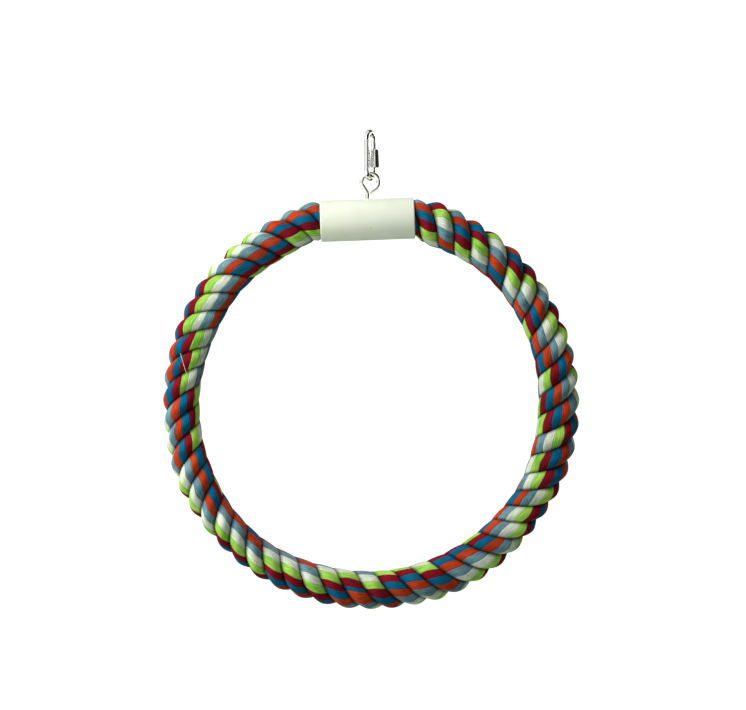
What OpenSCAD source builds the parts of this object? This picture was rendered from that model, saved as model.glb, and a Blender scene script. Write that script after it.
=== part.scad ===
// Hanging rope ring for cage birds to perch on.
// Three rope strands are laid right-handed and bent into a ring. Their ends meet in a rigid plastic sleeve
// at the top, and an eye bolt through the sleeve hangs in a screw-closed chain link.
// Lengths are millimetres. The origin is the hanging point, where the inside of the link's top bend rests on
// a hook or a cage bar. The ring stands in the XZ plane, and -Y is its front.

/* [Rope ring] */
// Radius of the ring, to the middle of the rope
ring_r = 122.8; // [100:0.2:150]
// Diameter of the rope over its three strands
rope_d = 26; // [20:0.5:30]
// Length of rope in which a strand goes once round
lay_length = 41.6; // [36:0.1:56]
// Place of the first strand round the rope at the top of the ring, in degrees
lay_start = 89; // [0:1:359]
// How far the lay runs ahead of an even one at the bottom of the ring, in degrees
lay_drift = 27; // [-60:1:60]
// Gap between neighbouring strands
strand_gap = 0.3; // [0.2:0.05:0.6]
// Radius of the rope's bend just outside the sleeve
mouth_bend_r = 18; // [16:1:30]

/* [Sleeve] */
// Length of the sleeve that joins the rope's ends
sleeve_l = 61; // [50:0.5:80]
// Outside diameter of the sleeve
sleeve_d = 26.7; // [24:0.1:34]
// Wall of the sleeve
sleeve_wall = 1.4; // [1:0.1:2.4]
// Rounding of the sleeve's outer rims
rim_r = 0.8; // [0.3:0.1:0.9]
// Straight rope past the sleeve before the bend, from a middle that the sleeve has slid away from
mouth_run = 1.6; // [0:0.1:6]
// How far the sleeve has slid along the rope, to the right
sleeve_shift = 3.2; // [-5:0.1:5]
// Lean of the sleeve, right end up, in degrees
sleeve_tilt = 2.1; // [-4:0.1:4]
// Gap between the squeezed rope and the sleeve's bore
bore_gap = 0.5; // [0.4:0.05:1]

/* [Rope ends] */
// Free space between the two cut ends of the rope, inside the sleeve
end_space = 14; // [12:0.5:20]
// Length of the tape round each end
wrap_l = 12; // [6:0.5:18]
// Thickness of the tape
wrap_t = 0.3; // [0.15:0.05:0.35]

/* [Eye bolt] */
// Wire of the eye bolt
eye_wire_d = 2.8; // [2:0.1:4]
// Outside diameter of the eye
eye_d = 13.7; // [12:0.1:18]
// Height of the eye's middle over the sleeve
eye_rise = 11.3; // [11:0.1:16]
// Straight shank between the sleeve and the eye's arms
neck_l = 3.6; // [2.5:0.1:5]
// How far the shank stands to the left of the eye's middle
eye_offset = 1.7; // [0:0.1:2.5]
// Outside diameter of the washer under the sleeve's wall
washer_d = 9; // [7:0.5:12]
// Thickness of the washer
washer_t = 0.8; // [0.5:0.1:1.2]
// Width of the bolt's nut across its flats
eye_nut_af = 5.5; // [5.5:0.1:7]
// Height of the bolt's nut
eye_nut_h = 2.4; // [1.8:0.1:4]
// Bolt that shows below its nut
tail_l = 2; // [0.5:0.1:3]

/* [Chain link] */
// Length of the link over all
link_l = 33.3; // [30:0.1:45]
// Width of the link over all
link_w = 14.3; // [13:0.1:20]
// Rod of the link
link_d = 3.3; // [2.5:0.1:4.5]
// Turn of the link away from the ring's plane, in degrees
link_turn = 66; // [0:1:180]
// Length of the link's sleeve nut
link_nut_l = 12; // [9:0.1:14]
// Width of the sleeve nut across its flats, at its lower end
link_nut_af = 6.5; // [5.6:0.1:9]
// Width of its narrower upper end
link_nut_top_af = 5.5; // [5.4:0.1:9]
// Turn of the sleeve nut on its rod, in degrees
link_nut_turn = 42; // [0:1:59]
// Opening in the link's side when the nut is run back
link_open = 3.1; // [2.5:0.1:5]
// Rod that the closed nut holds below the opening
link_grip = 2.1; // [1:0.1:3]
// How far the nut runs back
nut_travel = 5.2; // [3:0.1:6]

/* [Hidden] */
$fn = 64;
// Clearances
hang_gap = 0.12;
thread_gap = 0.05;
running_gap = 0.1;
nut_gap = 0.08;
washer_gap = 0.2;
wrap_gap = 0.05;
wire_end_gap = 0.1;
// Swelling of the wire where it was bent
bend_swell = 0.03;
// Overrun of a cut past the solid that it cuts
overrun = 1;
// The rope's section: a strand's middle and its radius as shares of the rope's radius,
// and the cosine of the lay angle, which widens a strand's section round the rope
middle_share = 0.57;
strand_share = 0.43;
lay_share = 0.55;
// The inside of the ring, where the bend presses the strands together: how far a crown reaches there and
// how much lower its edges stay, as shares of the rope's radius, and how far round the pressing starts
pressed_share = 0.975;
pressed_edge_share = 0.05;
press_start_share = 0.25;
// How the rope varies on its way round, as pairs of a share of that way, clockwise from the top, and a
// share: its thickness in the ring's plane, and how far it strays outwards, in radii of the rope
fullness_shares = [
    [0, 1], [0.044, 1], [0.065, 1.15], [0.086, 1.055], [0.117, 1.02], [0.195, 1.02], [0.247, 1.04],
    [0.273, 1.078], [0.315, 1.043], [0.335, 0.976], [0.353, 0.966], [0.428, 1.061], [0.45, 1.048],
    [0.475, 0.986], [0.533, 0.97], [0.571, 0.936], [0.616, 0.874], [0.653, 0.892], [0.688, 0.968],
    [0.701, 0.965], [0.734, 0.937], [0.755, 0.931], [0.82, 1.007], [0.85, 0.994], [0.918, 0.998],
    [0.934, 1.014], [0.951, 1.004], [0.957, 0.993], [1, 1]
];
stray_shares = [
    [0, 0], [0.044, 0], [0.055, -0.03], [0.067, 0], [0.083, -0.038], [0.132, 0.081], [0.183, 0.035],
    [0.217, 0.038], [0.257, 0.008], [0.324, 0.069], [0.369, 0.004], [0.428, 0.048], [0.45, 0.03],
    [0.475, -0.004], [0.55, -0.013], [0.602, 0.078], [0.684, 0.043], [0.701, 0.019], [0.734, -0.047],
    [0.784, -0.104], [0.82, -0.121], [0.833, -0.118], [0.867, -0.069], [0.884, -0.078],
    [0.918, -0.161], [0.937, -0.117], [0.951, -0.037], [0.958, -0.007], [1, 0]
];
strand_count = 3;
strand_angle = 360 / strand_count;
rope_r = rope_d / 2;
// Points across a strand's crown, and stations in each turn of the lay
crown_points = 6;
turn_stations = 16;
// The ring's middle line: a straight run in the sleeve, a short bend at each side, and the round ring
bend_centre_r = ring_r - mouth_bend_r;
straight_half = sleeve_l / 2 + mouth_run;
bend_angle = asin(straight_half / bend_centre_r);
sleeve_h = mouth_bend_r + bend_centre_r * cos(bend_angle);
bend_len = mouth_bend_r * bend_angle * PI / 180;
round_start = straight_half + bend_len;
loop_len = 2 * round_start + ring_r * (360 - 2 * bend_angle) * PI / 180;
rope_start = sleeve_shift + end_space / 2;
rope_end = loop_len + sleeve_shift - end_space / 2;
station_count = ceil((rope_end - rope_start) / lay_length * turn_stations);
station_step = (rope_end - rope_start) / station_count;
// The sleeve's bore, and how the rope flares from its mouth
bore_r = sleeve_d / 2 - sleeve_wall;
squeezed_r = bore_r - bore_gap;
flare_share = 1.1;
rim_steps = 5;
// The link
link_r = link_d / 2;
link_bend_r = (link_w - link_d) / 2;
link_top = link_r;
link_bottom = link_top - (link_l - link_d);
limb_top = link_top - link_bend_r;
limb_bottom = link_bottom + link_bend_r;
link_nut_bottom = limb_top - nut_travel - link_nut_l;
stub_top = link_nut_bottom + link_grip;
chamfer_share = 0.12;
// The eye, hung in the link's bottom bend
eye_wire_r = eye_wire_d / 2;
eye_r = eye_d / 2 - eye_wire_r;
swing_z = link_bottom + link_r + hang_gap + eye_wire_r;
eye_z = swing_z - eye_r;
sleeve_top_z = eye_z - eye_rise;
fork_z = sleeve_top_z + neck_l;
// The sleeve and the ring under the eye
sleeve_z = sleeve_top_z - sleeve_d / 2 / cos(sleeve_tilt);
ring_x = -eye_offset - sleeve_shift * cos(sleeve_tilt) + sleeve_h * sin(sleeve_tilt);
ring_z = sleeve_z - sleeve_shift * sin(sleeve_tilt) - sleeve_h * cos(sleeve_tilt);
// The washer rides under the curved and leaning wall of the bore
washer_r = washer_d / 2;
washer_top = sleeve_z + sqrt(bore_r * bore_r - washer_r * washer_r)
    - washer_r * abs(tan(sleeve_tilt)) - washer_gap;
eye_nut_top = washer_top - washer_t;
tail_z = eye_nut_top - eye_nut_h - tail_l;

// Angle round the ring, clockwise from its top, at a length along the middle line from there
function heading(s) =
    s > loop_len / 2 ? 360 - heading(loop_len - s) :
    s < straight_half ? 0 :
    s < round_start ? (s - straight_half) / mouth_bend_r * 180 / PI :
    bend_angle + (s - round_start) / ring_r * 180 / PI;

// Point of the middle line, [x, z] from the ring's centre
function middle(s) =
    s > loop_len / 2 ? let (p = middle(loop_len - s)) [-p.x, p.y] :
    s < straight_half ? [s, sleeve_h] :
    s < round_start ? let (a = heading(s))
        [straight_half + mouth_bend_r * sin(a), sleeve_h - mouth_bend_r * (1 - cos(a))] :
    let (a = heading(s)) [ring_r * sin(a), ring_r * cos(a)];

// Angle of a strand round the rope, from the outer side of the ring towards its front
function lay_angle(s, strand) =
    lay_start - strand * strand_angle + 360 * s / lay_length + lay_drift * sin(180 * s / loop_len);

// Radius of a strand's outline, as a share of the rope's, at an angle from the strand's crown.
// It is the section of a round strand that crosses the rope at the lay angle.
function crown_share(a) =
    let (w = 1 + pow(a * PI / 180 * lay_share, 2),
         d = pow(middle_share, 2) - w * (pow(middle_share, 2) - pow(strand_share, 2)))
    (middle_share + sqrt(d)) / w;

// How much the strands are pressed together at an angle round the rope: 1 at the inside of the ring
function pressing(turn) =
    let (t = max(0, (-cos(turn) - press_start_share) / (1 - press_start_share)))
    t * t * (3 - 2 * t);

// Radius of a strand's outline at an angle from its crown, where the crown stands at a turn round the rope
function outline_r(a, turn) =
    let (w = pressing(turn + a),
         pressed = pressed_share - pressed_edge_share * pow(2 * a / strand_angle, 2))
    rope_r * (crown_share(a) * (1 - w) + pressed * w);

// Outline of one strand in the rope's section: its crown, then the inner corner between its two flat sides
function crown_angle(i) = strand_angle * (i / (crown_points - 1) - 0.5);
function crown_point(i, turn) =
    let (a = crown_angle(i),
         side = i == 0 ? -1 : i == crown_points - 1 ? 1 : 0)
    outline_r(a, turn) * [cos(a), sin(a)]
        + strand_gap / 2 * [abs(side) * sin(strand_angle / 2), -side * cos(strand_angle / 2)];
function strand_outline(turn) = [
    for (i = [0 : crown_points - 1]) crown_point(i, turn),
    [strand_gap / 2 / sin(strand_angle / 2), 0]
];

// The sleeve squeezes the rope: inside it, and in a cone that opens from each rim, a point is kept
// near its axis
function squeeze(p) =
    let (past = max(0, abs(p.x - sleeve_shift) - sleeve_l / 2 - bore_gap),
         limit = squeezed_r + past * flare_share,
         off = [p.y, p.z - sleeve_h],
         far = norm(off))
    p.z > 0 && far > limit && past < sleeve_wall + rope_r ?
        [p.x, p.y * limit / far, sleeve_h + off.y * limit / far] : p;

// Point of a strand's surface at a station of the middle line
function strand_point(s, turn, q) =
    let (m = middle(s),
         a = heading(s),
         fullness = lookup(s / loop_len, fullness_shares),
         stray = rope_r * lookup(s / loop_len, stray_shares),
         out = (q.x * cos(turn) - q.y * sin(turn)) * fullness + stray,
         front = q.x * sin(turn) + q.y * cos(turn))
    squeeze([m.x + out * sin(a), -front, m.y + out * cos(a)]);

// Axes with the ring's centre at the origin and the sleeve level above it
module ring_frame() {
    translate([ring_x, 0, ring_z])
        rotate([0, -sleeve_tilt, 0])
            children();
}

// One strand, swept along the ring from one cut end to the other
module rope_strand(strand) {
    corners = crown_points + 1;
    points = [
        for (j = [0 : station_count])
            let (s = rope_start + j * station_step, turn = lay_angle(s, strand))
                for (q = strand_outline(turn)) strand_point(s, turn, q)
    ];
    // Both flat sides are split from their inner to their outer edge, so that neighbours stay parallel
    sides = [
        for (j = [0 : station_count - 1])
            for (i = [0 : corners - 1])
                let (a = j * corners + i,
                     b = j * corners + (i + 1) % corners,
                     c = b + corners,
                     d = a + corners)
                    for (t = i == corners - 1 ? [[a, c, b], [a, d, c]] : [[a, d, b], [b, d, c]]) t
    ];
    first = [for (i = [1 : corners - 2]) [0, i, i + 1]];
    base = station_count * corners;
    last = [for (i = [1 : corners - 2]) [base, base + i + 1, base + i]];
    polyhedron(points, concat(sides, first, last), convexity = 10);
}

module rope_strand_1() {
    color("firebrick")
        ring_frame()
            rope_strand(0);
}

module rope_strand_2() {
    color("teal")
        ring_frame()
            rope_strand(1);
}

module rope_strand_3() {
    color("yellowgreen")
        ring_frame()
            rope_strand(2);
}

// Axes along the sleeve, with the origin in its middle
module sleeve_frame() {
    ring_frame()
        translate([sleeve_shift, 0, sleeve_h])
            rotate([0, 90, 0])
                children();
}

// Rounded outer rim of the sleeve in section, at its upper end where end is 1 and its lower where -1
function rim_arc(end) = [
    for (i = [0 : rim_steps])
        let (a = 90 * (end > 0 ? i : rim_steps - i) / rim_steps)
            [sleeve_d / 2 - rim_r + rim_r * cos(a), end * (sleeve_l / 2 - rim_r + rim_r * sin(a))]
];

module connector_sleeve() {
    bore = [[bore_r, sleeve_l / 2], [bore_r, -sleeve_l / 2]];
    sleeve_outline = concat(bore, rim_arc(-1), rim_arc(1));
    color("ivory")
        difference() {
            sleeve_frame()
                rotate_extrude()
                    polygon(sleeve_outline);
            translate([-eye_offset, 0, sleeve_z])
                cylinder(h = sleeve_d / 2 + overrun, r = eye_wire_r + running_gap);
        }
}

// Tape that binds a cut end of the rope; side is 1 at the right and -1 at the left
module end_wrap(side) {
    color("tan")
        sleeve_frame()
            translate([0, 0, side * (end_space + wrap_l) / 2 - wrap_l / 2])
                difference() {
                    cylinder(h = wrap_l, r = squeezed_r + wrap_gap + wrap_t);
                    translate([0, 0, -overrun])
                        cylinder(h = wrap_l + 2 * overrun, r = squeezed_r + wrap_gap);
                }
}

module left_end_wrap() {
    end_wrap(-1);
}

module right_end_wrap() {
    end_wrap(1);
}

// Angle at which a line from a point touches the eye's circle; side is 1 or -1
function touch_angle(p, side) = atan2(p.y, p.x) + side * acos(eye_r / norm(p));
function on_eye(a) = eye_r * [cos(a), sin(a)];

// A straight piece of wire between two points of the eye's plane, given from the eye's middle
module wire(a, b) {
    d = b - a;
    translate([a.x, 0, a.y])
        rotate([0, atan2(d.x, d.y), 0])
            cylinder(h = norm(d), r = eye_wire_r);
}

module eye_bolt() {
    fork = [-eye_offset, fork_z - eye_z];
    left = touch_angle(fork, -1);
    right = touch_angle(fork, 1);
    right_arm = on_eye(right) - fork;
    left_arm = on_eye(left) - fork;
    // The wire's cut end stops just short of the left arm
    fork_angle = atan2(right_arm.x, right_arm.y) - atan2(left_arm.x, left_arm.y);
    cut = (eye_wire_r * (1 + cos(fork_angle)) + wire_end_gap) / sin(fork_angle);
    color("silver")
        translate([0, 0, eye_z]) {
            wire([fork.x, tail_z - eye_z], fork);
            wire(fork, on_eye(left));
            wire(fork + right_arm * cut / norm(right_arm), on_eye(right));
            for (p = [fork, on_eye(left), on_eye(right)])
                translate([p.x, 0, p.y])
                    sphere(r = eye_wire_r + bend_swell);
            rotate([90, 0, 0])
                rotate([0, 0, right])
                    rotate_extrude(angle = 360 + left - right)
                        translate([eye_r, 0])
                            circle(r = eye_wire_r);
        }
}

module eye_washer() {
    color("gainsboro")
        translate([-eye_offset, 0, eye_nut_top])
            difference() {
                cylinder(h = washer_t, d = washer_d);
                translate([0, 0, -overrun])
                    cylinder(h = washer_t + 2 * overrun, r = eye_wire_r + running_gap);
            }
}

// A hexagon nut that stands on the origin, with its corners chamfered at both ends. It may narrow upwards.
module hex_nut(af, top_af, height, bore) {
    low_r = af / 2 / cos(30);
    top_r = top_af / 2 / cos(30);
    chamfer = af * chamfer_share;
    difference() {
        intersection() {
            cylinder(h = height, r1 = low_r, r2 = top_r, $fn = 6);
            union() {
                cylinder(h = chamfer, r1 = low_r - chamfer, r2 = low_r);
                translate([0, 0, chamfer])
                    cylinder(h = height - 2 * chamfer, r1 = low_r, r2 = top_r);
                translate([0, 0, height - chamfer])
                    cylinder(h = chamfer, r1 = top_r, r2 = top_r - chamfer);
            }
        }
        translate([0, 0, -overrun])
            cylinder(h = height + 2 * overrun, r = bore);
    }
}

module eye_nut() {
    color("darkgray")
        translate([-eye_offset, 0, eye_nut_top - eye_nut_h])
            hex_nut(eye_nut_af, eye_nut_af, eye_nut_h, eye_wire_r + thread_gap);
}

// Half a turn of the link's rod, with its ends pointing down
module link_bend() {
    rotate([90, 0, 0])
        rotate_extrude(angle = 180)
            translate([link_bend_r, 0])
                circle(r = link_r);
}

module link_limb(x, from, to) {
    translate([x, 0, from])
        cylinder(h = to - from, r = link_r);
}

module quick_link() {
    color("lightsteelblue")
        rotate([0, 0, link_turn]) {
            translate([0, 0, limb_top])
                link_bend();
            translate([0, 0, limb_bottom])
                mirror([0, 0, 1])
                    link_bend();
            link_limb(-link_bend_r, limb_bottom, limb_top);
            link_limb(link_bend_r, limb_bottom, stub_top);
            link_limb(link_bend_r, stub_top + link_open, limb_top);
        }
}

module link_nut() {
    color("slategray")
        rotate([0, 0, link_turn])
            translate([link_bend_r, 0, link_nut_bottom])
                rotate([0, 0, link_nut_turn])
                    hex_nut(link_nut_af, link_nut_top_af, link_nut_l, link_r + nut_gap);
}

connector_sleeve();
rope_strand_1();
rope_strand_2();
rope_strand_3();
left_end_wrap();
right_end_wrap();
eye_bolt();
eye_washer();
eye_nut();
quick_link();
link_nut();
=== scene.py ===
# %% [markdown]
# # A hanging rope ring for cage birds
# This lesson dresses a finished CAD model for its portrait. The CAD model gives every place and size: three
# rope strands bent into a ring, a plastic sleeve over their ends, an eye of wire and a chain link. Blender
# gives what the eye notices first: yarns in six dyed colours, plastic that has been sawn to length, and
# zinc-plated steel. All of it is in metres, in the CAD model's own axes, with the hook at the origin, Z up
# and the ring's front towards -Y.

# %% Load the CAD model
import math

import bpy
import numpy as np
from mathutils import Matrix, Vector


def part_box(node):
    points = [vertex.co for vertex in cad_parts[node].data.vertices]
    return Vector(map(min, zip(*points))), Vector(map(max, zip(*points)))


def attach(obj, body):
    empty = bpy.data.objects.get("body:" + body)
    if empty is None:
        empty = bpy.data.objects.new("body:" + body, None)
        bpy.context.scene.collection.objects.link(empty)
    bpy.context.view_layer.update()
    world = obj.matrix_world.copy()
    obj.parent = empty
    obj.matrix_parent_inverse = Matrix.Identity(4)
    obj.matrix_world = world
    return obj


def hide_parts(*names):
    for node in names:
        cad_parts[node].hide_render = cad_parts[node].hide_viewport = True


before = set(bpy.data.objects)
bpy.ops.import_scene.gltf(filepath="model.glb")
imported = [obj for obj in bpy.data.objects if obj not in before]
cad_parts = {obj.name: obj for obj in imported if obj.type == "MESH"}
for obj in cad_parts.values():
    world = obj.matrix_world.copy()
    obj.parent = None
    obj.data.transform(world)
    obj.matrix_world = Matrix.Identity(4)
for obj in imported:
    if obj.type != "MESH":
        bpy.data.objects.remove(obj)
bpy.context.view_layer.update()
MM = 0.001
print("CAD nodes:", ", ".join(sorted(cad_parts)))

# %% [markdown]
# ## The camera
# The ring was photographed square on, from far enough that it shows as a true circle. So the camera stands
# 1.3 m away with a long lens, and its focal length follows from how many millimetres of the real object
# each pixel of the picture covers. The Standard view shows every colour as it is written.

# %% The camera
photo_pixels = (746, 710)
mm_per_pixel = 0.65
camera_distance = 1300 * MM
view_centre = Vector((1.9, 0, -143.2)) * MM

camera_data = bpy.data.cameras.new("camera")
view_width = photo_pixels[0] * mm_per_pixel * MM
camera_data.lens = camera_data.sensor_width * camera_distance / view_width
camera = bpy.data.objects.new("camera", camera_data)
bpy.context.collection.objects.link(camera)
camera.location = view_centre + Vector((0, -camera_distance, 0))
camera.rotation_euler = (math.radians(90), 0, 0)
bpy.context.scene.camera = camera
bpy.context.scene.view_settings.view_transform = "Standard"
print("lens in mm:", round(camera_data.lens, 1))

# %% [markdown]
# ## Colours and nodes
# Colours are written as sRGB hex values, as a paint programme shows them, and one function turns them into
# the linear values that Blender's sockets want. One more function adds a node to a material: it takes the
# node's settings, the values of its sockets and what is plugged into them, so that every material below
# reads as a list of its steps. No real surface is of one even colour, so a third makes a colour that wavers
# between two tones, with which nearly all of them start.


# %% Helpers for materials
def linear(hex_code):
    """An sRGB hex colour as the four linear values of a colour socket."""
    channels = [int(hex_code[i : i + 2], 16) / 255 for i in (1, 3, 5)]
    return [c / 12.92 if c <= 0.04045 else ((c + 0.055) / 1.055) ** 2.4 for c in channels] + [1.0]


def add_node(tree, kind, sockets=(), **settings):
    """Adds a node. sockets pairs each input's name or number with a value or with another node's output."""
    node = tree.nodes.new(kind)
    for name, value in settings.items():
        setattr(node, name, value)
    for name, value in dict(sockets).items():
        if isinstance(value, bpy.types.NodeSocket):
            tree.links.new(value, node.inputs[name])
        else:
            node.inputs[name].default_value = value
    return node


def new_material(name, **surface):
    """A material with its Principled shader, whose sockets take the given values."""
    material = bpy.data.materials.new(name)
    material.use_nodes = True
    shader = material.node_tree.nodes["Principled BSDF"]
    for socket, value in surface.items():
        shader.inputs[socket.replace("_", " ")].default_value = value
    return material, material.node_tree, shader


def clouded(tree, patch, deep, pale, detail=2.0):
    """A cloud of patches of a size, and a colour that wavers with it between two tones."""
    place = add_node(tree, "ShaderNodeTexCoord")
    sockets = {"Vector": place.outputs["Object"], "Scale": 1 / patch, "Detail": detail}
    cloud = add_node(tree, "ShaderNodeTexNoise", sockets).outputs["Fac"]
    tones = {0: cloud, 6: linear(deep), 7: linear(pale)}
    return cloud, add_node(tree, "ShaderNodeMix", tones, data_type="RGBA").outputs[2]


def seen_directly(tree):
    """1 for rays from the camera, a mirror or glass, and 0 for the light that falls on things."""
    rays = add_node(tree, "ShaderNodeLightPath")
    seen = rays.outputs["Is Camera Ray"]
    for kind in ("Is Glossy Ray", "Is Transmission Ray"):
        either = add_node(tree, "ShaderNodeMath", {0: seen, 1: rays.outputs[kind]}, operation="MAXIMUM")
        seen = either.outputs[0]
    return seen


# %% [markdown]
# ## The studio
# The object hangs in front of plain white paper: a floor that curves up into a backdrop, far enough behind
# that no shadow of the ring falls on it in the portrait. The paper is white because of its own colour, lifted
# a little for the camera, and not because more light is thrown on the object. It is made as by hand: a plane
# whose back edge is extruded upwards, with the fold between them bevelled round.

# %% Floor and backdrop
floor_level = -0.80
floor_half = 2.6
backdrop_height = 4.0
fold_radius = 0.9


def pick(piece):
    """Selects one object alone and makes it the active one."""
    bpy.ops.object.select_all(action="DESELECT")
    piece.select_set(True)
    bpy.context.view_layer.objects.active = piece


def settle(piece):
    """Puts a piece's place, turn and size into its mesh, and leaves its object at the origin."""
    pick(piece)
    bpy.ops.object.transform_apply(location=True, rotation=True, scale=True)


def started(name):
    """The primitive that was just added, named and settled."""
    piece = bpy.context.object
    piece.name = name
    settle(piece)
    return piece


def pick_edges(piece, wanted):
    """Goes to edit mode with only those edges selected whose middles pass a test."""
    bpy.ops.object.mode_set(mode="EDIT")
    bpy.ops.mesh.select_mode(type="EDGE")
    bpy.ops.mesh.select_all(action="DESELECT")
    bpy.ops.object.mode_set(mode="OBJECT")
    for edge in piece.data.edges:
        one, other = (piece.data.vertices[v].co for v in edge.vertices)
        edge.select = wanted((one + other) / 2)
    bpy.ops.object.mode_set(mode="EDIT")


bpy.ops.mesh.primitive_plane_add(size=2 * floor_half, location=(0, 0, floor_level))
paper = started("paper_sweep")
pick_edges(paper, lambda middle: middle.y > floor_half - MM)
bpy.ops.mesh.extrude_region_move(TRANSFORM_OT_translate={"value": (0, 0, backdrop_height)})
pick_edges(paper, lambda middle: middle.y > floor_half - MM and middle.z < floor_level + MM)
bpy.ops.mesh.bevel(offset=fold_radius, segments=16, affect="EDGES")
bpy.ops.object.mode_set(mode="OBJECT")
bpy.ops.object.shade_smooth()
print("paper faces:", len(paper.data.polygons))

# %% [markdown]
# The paper's finish is matt and coated: no gloss, a faint unevenness of the roll, and a little light of its
# own for the camera and for reflections, which makes it plain white there while the ring's shadow on it
# stays. The light that it throws back at the object is a little dimmer and faintly green, as the shade on the
# photographed sleeve is.

# %% White paper
paper_glow = 0.85
paper_cloud = 0.4
paper_material, tree, shader = new_material("matt_white_paper", Roughness=0.9, Specular_IOR_Level=0.1)
_, tint = clouded(tree, paper_cloud, "#f1f1f1", "#f8f8f8")
rays = add_node(tree, "ShaderNodeLightPath")
dimmed = add_node(
    tree,
    "ShaderNodeMix",
    {0: rays.outputs["Is Diffuse Ray"], 6: tint, 7: linear("#c9d7ca")},
    data_type="RGBA",
)
tree.links.new(dimmed.outputs[2], shader.inputs["Base Color"])
glow = add_node(tree, "ShaderNodeMath", {0: seen_directly(tree), 1: paper_glow}, operation="MULTIPLY")
tree.links.new(glow.outputs[0], shader.inputs["Emission Strength"])
paper.data.materials.append(paper_material)
print("backdrop:", paper_material.name)

# %% [markdown]
# ## Light
# The photograph is lit from the upper left by a soft lamp that stands close, so that the pale plastic sleeve
# goes from ivory to grey-green downwards. A weak second lamp stands low on the left, because the rope's left
# side is brighter than its right. A third lights the back, which the portrait doesn't show and other views
# do, and the world fills in the rest evenly. A lamp's power is worked out from its distance, so that level
# says plainly how bright a white card would be in its light alone.

# %% World and lamps
ambient = 0.26
world = bpy.data.worlds.new("studio")
bpy.context.scene.world = world
world.use_nodes = True
tree = world.node_tree
strength = add_node(tree, "ShaderNodeMapRange", {"Value": seen_directly(tree), "To Min": ambient})
background = tree.nodes["Background"]
background.inputs["Color"].default_value = linear("#ffffff")
tree.links.new(strength.outputs["Result"], background.inputs["Strength"])


def soft_lamp(name, place, size, level):
    """A square lamp that faces the middle of the view and lights a white card there to the given level."""
    lamp_data = bpy.data.lights.new(name, "AREA")
    lamp_data.size = size
    lamp = bpy.data.objects.new(name, lamp_data)
    bpy.context.collection.objects.link(lamp)
    lamp.location = Vector(place)
    away = lamp.location - view_centre
    lamp.rotation_euler = away.to_track_quat("Z", "Y").to_euler()
    lamp_data.energy = level * math.pi**2 * away.length_squared
    lamp.visible_camera = False
    print(f"{name}: {lamp_data.energy:.0f} W")


soft_lamp("key_lamp", (-0.62, -0.48, 0.50), size=0.62, level=1.0)
soft_lamp("left_lamp", (-0.40, -0.20, -0.22), size=0.26, level=0.38)
soft_lamp("back_lamp", (0.60, 1.05, 0.30), size=0.60, level=0.55)

# %% [markdown]
# Bright metal shows its surroundings, and in an all-white room it looks like grey plastic. Photographers
# stand dark cards round it, and the wire here has a dark line down its right side from such a card, a thin
# one on its left, and a dark underside. Four cards are planes that are bent round the object in an arc: one
# at the right, one lower, one higher and one behind it on the left. A fifth is a disc that lies under it.
# Only reflections see them.

# %% Dark cards for the metal
card_distance = 0.55
card_fibre = 0.02
# Each card's two ends as angles from the front towards the right, and its lower and upper edge
side_cards = {
    "right_card": (math.radians(28), math.radians(110), -0.22, 0.18),
    "low_card": (math.radians(20), math.radians(205), -0.95, -0.14),
    "high_card": (math.radians(-15), math.radians(200), 0.12, 0.95),
    "left_card": (math.radians(-172), math.radians(-130), -0.45, 0.45),
}
under_card_r = 0.45
under_card_level = -0.45
card_material, tree, shader = new_material("dark_card", Roughness=0.9, Specular_IOR_Level=0.0)
_, tone = clouded(tree, card_fibre, "#262622", "#34332e")
tree.links.new(tone, shader.inputs["Base Color"])
cards = []
for name, (turn_from, turn_to, low, high) in side_cards.items():
    bpy.ops.mesh.primitive_plane_add(size=1)
    card = started(name)
    bpy.ops.object.mode_set(mode="EDIT")
    bpy.ops.mesh.select_all(action="SELECT")
    bpy.ops.mesh.subdivide(number_cuts=24)
    bpy.ops.object.mode_set(mode="OBJECT")
    for vertex in card.data.vertices:
        turn = turn_from + (turn_to - turn_from) * (vertex.co.x + 0.5)
        height = low + (high - low) * (vertex.co.y + 0.5)
        vertex.co = (card_distance * math.sin(turn), -card_distance * math.cos(turn), height)
    cards.append(card)
bpy.ops.mesh.primitive_circle_add(
    vertices=64, radius=under_card_r, fill_type="NGON", location=(under_card_r / 2, 0, under_card_level)
)
cards.append(started("under_card"))
for card in cards:
    card.data.materials.append(card_material)
    card.visible_camera = False
    card.visible_diffuse = False
    card.visible_transmission = False
    card.visible_shadow = False
print("cards:", ", ".join(card.name for card in cards))

# %% [markdown]
# ## The rope's middle line
# The rope is one inch thick and laid from three strands. Its middle line is a straight run inside the
# sleeve, a short bend at each side and a large round. The CAD source works out the same line, so its sizes
# are repeated here, and the ring's centre is found from where the CAD model has its sleeve. Working along
# the line by length, and not by angle, keeps the lay even through the bends.

# %% The rope's sizes
ring_r = 122.8 * MM
rope_r = 13 * MM
lay_length = 41.6 * MM
lay_start = math.radians(89)
lay_drift = math.radians(27)
strand_count = 3
strand_angle = 2 * math.pi / strand_count
strand_gap = 0.12 * MM
mouth_bend_r = 18 * MM
mouth_run = 1.6 * MM
end_space = 14 * MM
# The strand's middle and radius as shares of the rope's radius, and the cosine of the lay angle halfway from
# its middle to its crown
middle_share = 0.57
strand_share = 0.43
lay_share = 0.55
# On the inside of the ring the bend presses the strands together, which nearly closes the grooves there
pressed_share = 0.975
pressed_edge_share = 0.05
press_start_share = 0.25

sleeve_l = 61 * MM
sleeve_r = 26.7 * MM / 2
sleeve_wall = 1.4 * MM
sleeve_shift = 3.2 * MM
sleeve_tilt = math.radians(2.1)
bore_gap = 0.5 * MM
flare_share = 1.1

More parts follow.
